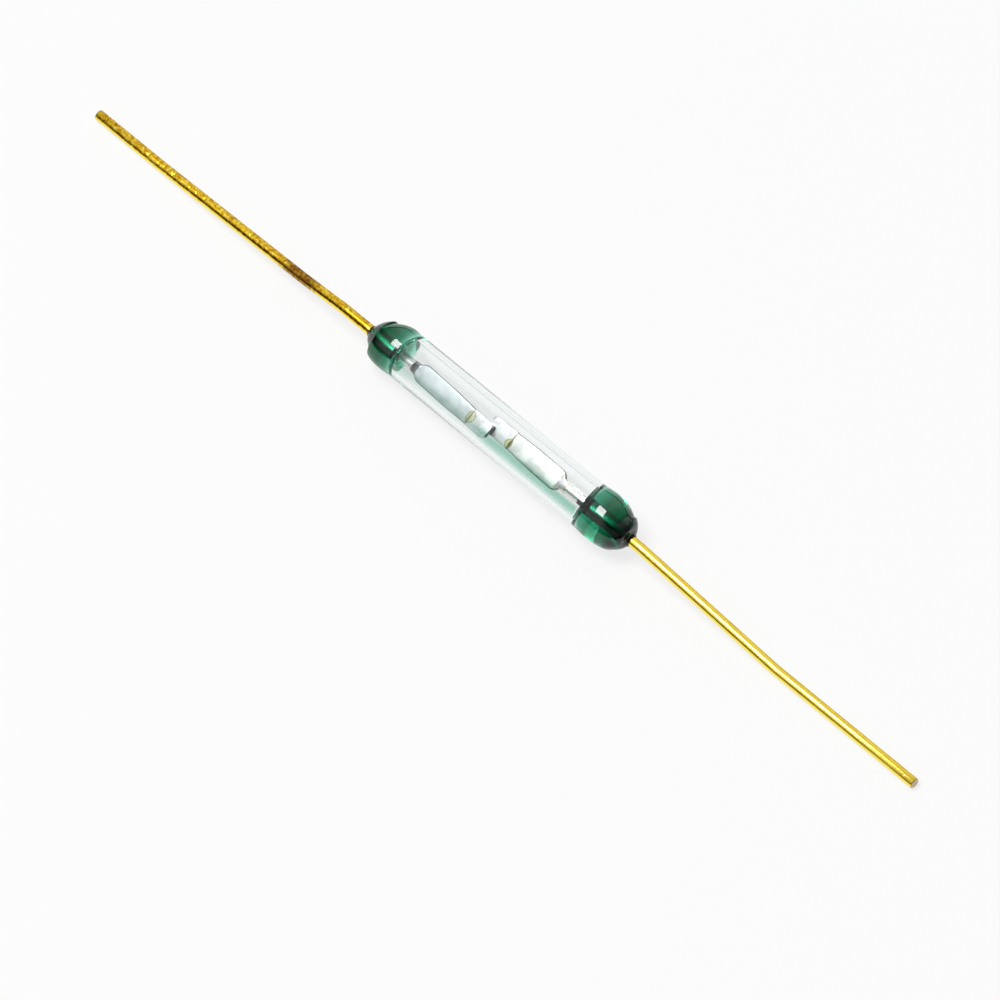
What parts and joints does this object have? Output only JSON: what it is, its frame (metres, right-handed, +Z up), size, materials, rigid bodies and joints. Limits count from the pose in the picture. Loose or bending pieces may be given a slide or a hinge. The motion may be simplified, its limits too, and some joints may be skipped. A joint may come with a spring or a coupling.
{
  "type": "reed switch",
  "caption": "Bare reed switch: sealed glass tube with flat reeds inside and gold plated wire leads that lie bent down to the table.",
  "frame": {"origin": "on the tube's axis at the middle of the glass", "axes": "+X along the tube towards the right lead, +Z up from the table that the switch lies on"},
  "size_m": [0.0444, 0.0022, 0.0022],
  "materials": {
    "glass": "clear green iron glass, deep green where it is thick",
    "gold_wire": "thin bright gold plating over drawn wire",
    "reed_metal": "pressed nickel-iron, satin",
    "contact_metal": "bright contact plating"
  },
  "bodies": {
    "switch_body": {"glass_envelope": "glass", "left_lead": "gold_wire", "right_lead": "gold_wire"},
    "left_reed": {"left_reed_blade": "reed_metal", "left_contact_plating": "contact_metal"},
    "right_reed": {"right_reed_blade": "reed_metal", "right_contact_plating": "contact_metal"}
  },
  "joints": [
    {"name": "left_reed_flex", "type": "hinge", "parent": "switch_body", "child": "left_reed", "pos_m": [-0.00472, -0.00012, 0], "axis": [0, 0.866, 0.5], "range_deg": [0, 0.45], "stiffness_Nm_per_rad": 0.07},
    {"name": "right_reed_flex", "type": "hinge", "parent": "switch_body", "child": "right_reed", "pos_m": [0.00356, -0.00003, 0], "axis": [0, 0.866, 0.5], "range_deg": [0, 0.45], "stiffness_Nm_per_rad": 0.07}
  ]
}
